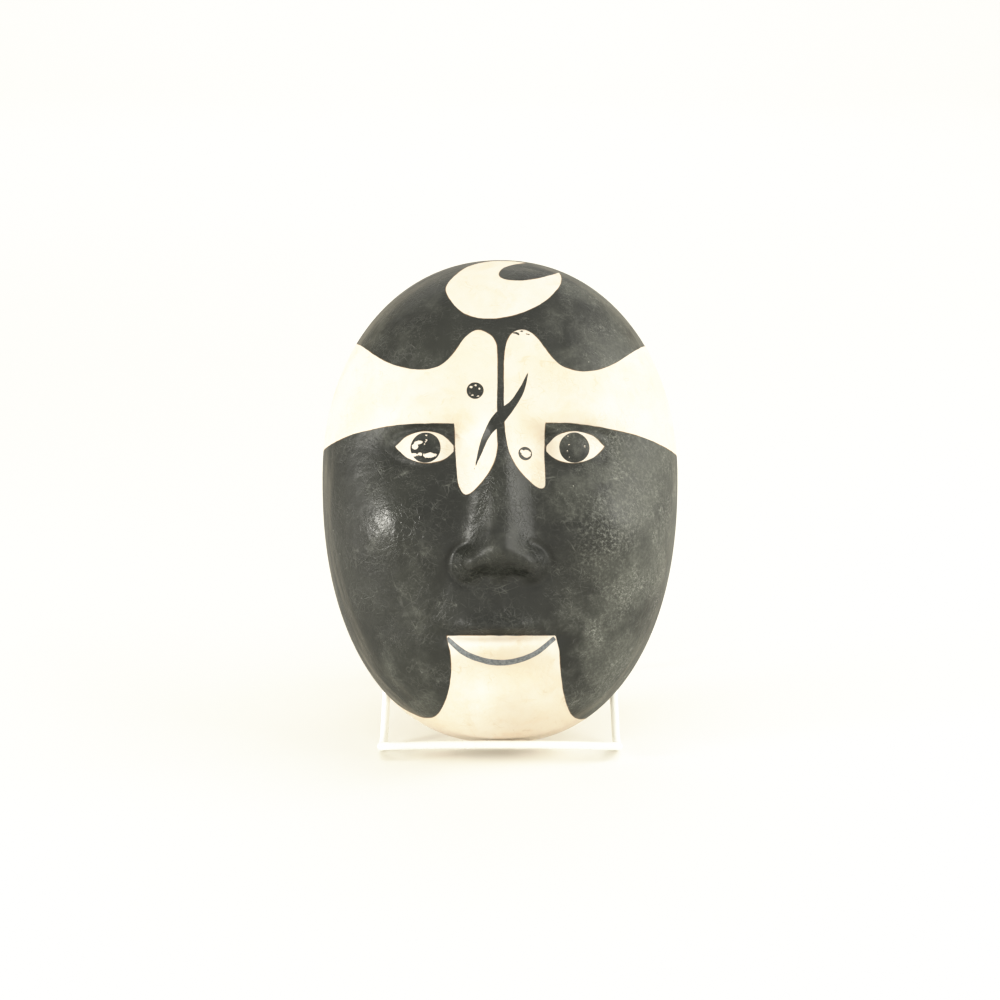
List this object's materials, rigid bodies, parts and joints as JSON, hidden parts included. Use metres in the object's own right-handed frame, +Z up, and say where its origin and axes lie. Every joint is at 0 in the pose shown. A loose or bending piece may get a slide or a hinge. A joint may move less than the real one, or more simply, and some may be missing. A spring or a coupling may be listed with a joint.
{
  "type": "chinese opera mask",
  "caption": "Painted papier-mache opera mask with a calm face, hollow behind, leaning on a white coated wire display stand.",
  "frame": {"origin": "middle of the bounding box's underside, on the table that the stand and the mask's chin stand on", "axes": "+Z up, the face looks towards -Y and leans back, +X to the right of someone who looks at the face"},
  "size_m": [0.1778, 0.1414, 0.2334],
  "materials": {
    "painted_paper": "worn satin paint, charcoal black with warm cream areas, on moulded papier-mache",
    "white_wire": "glossy white plastic-coated steel wire"
  },
  "bodies": {
    "root": {"mask": "painted_paper", "wire_stand": "white_wire"}
  },
  "joints": []
}
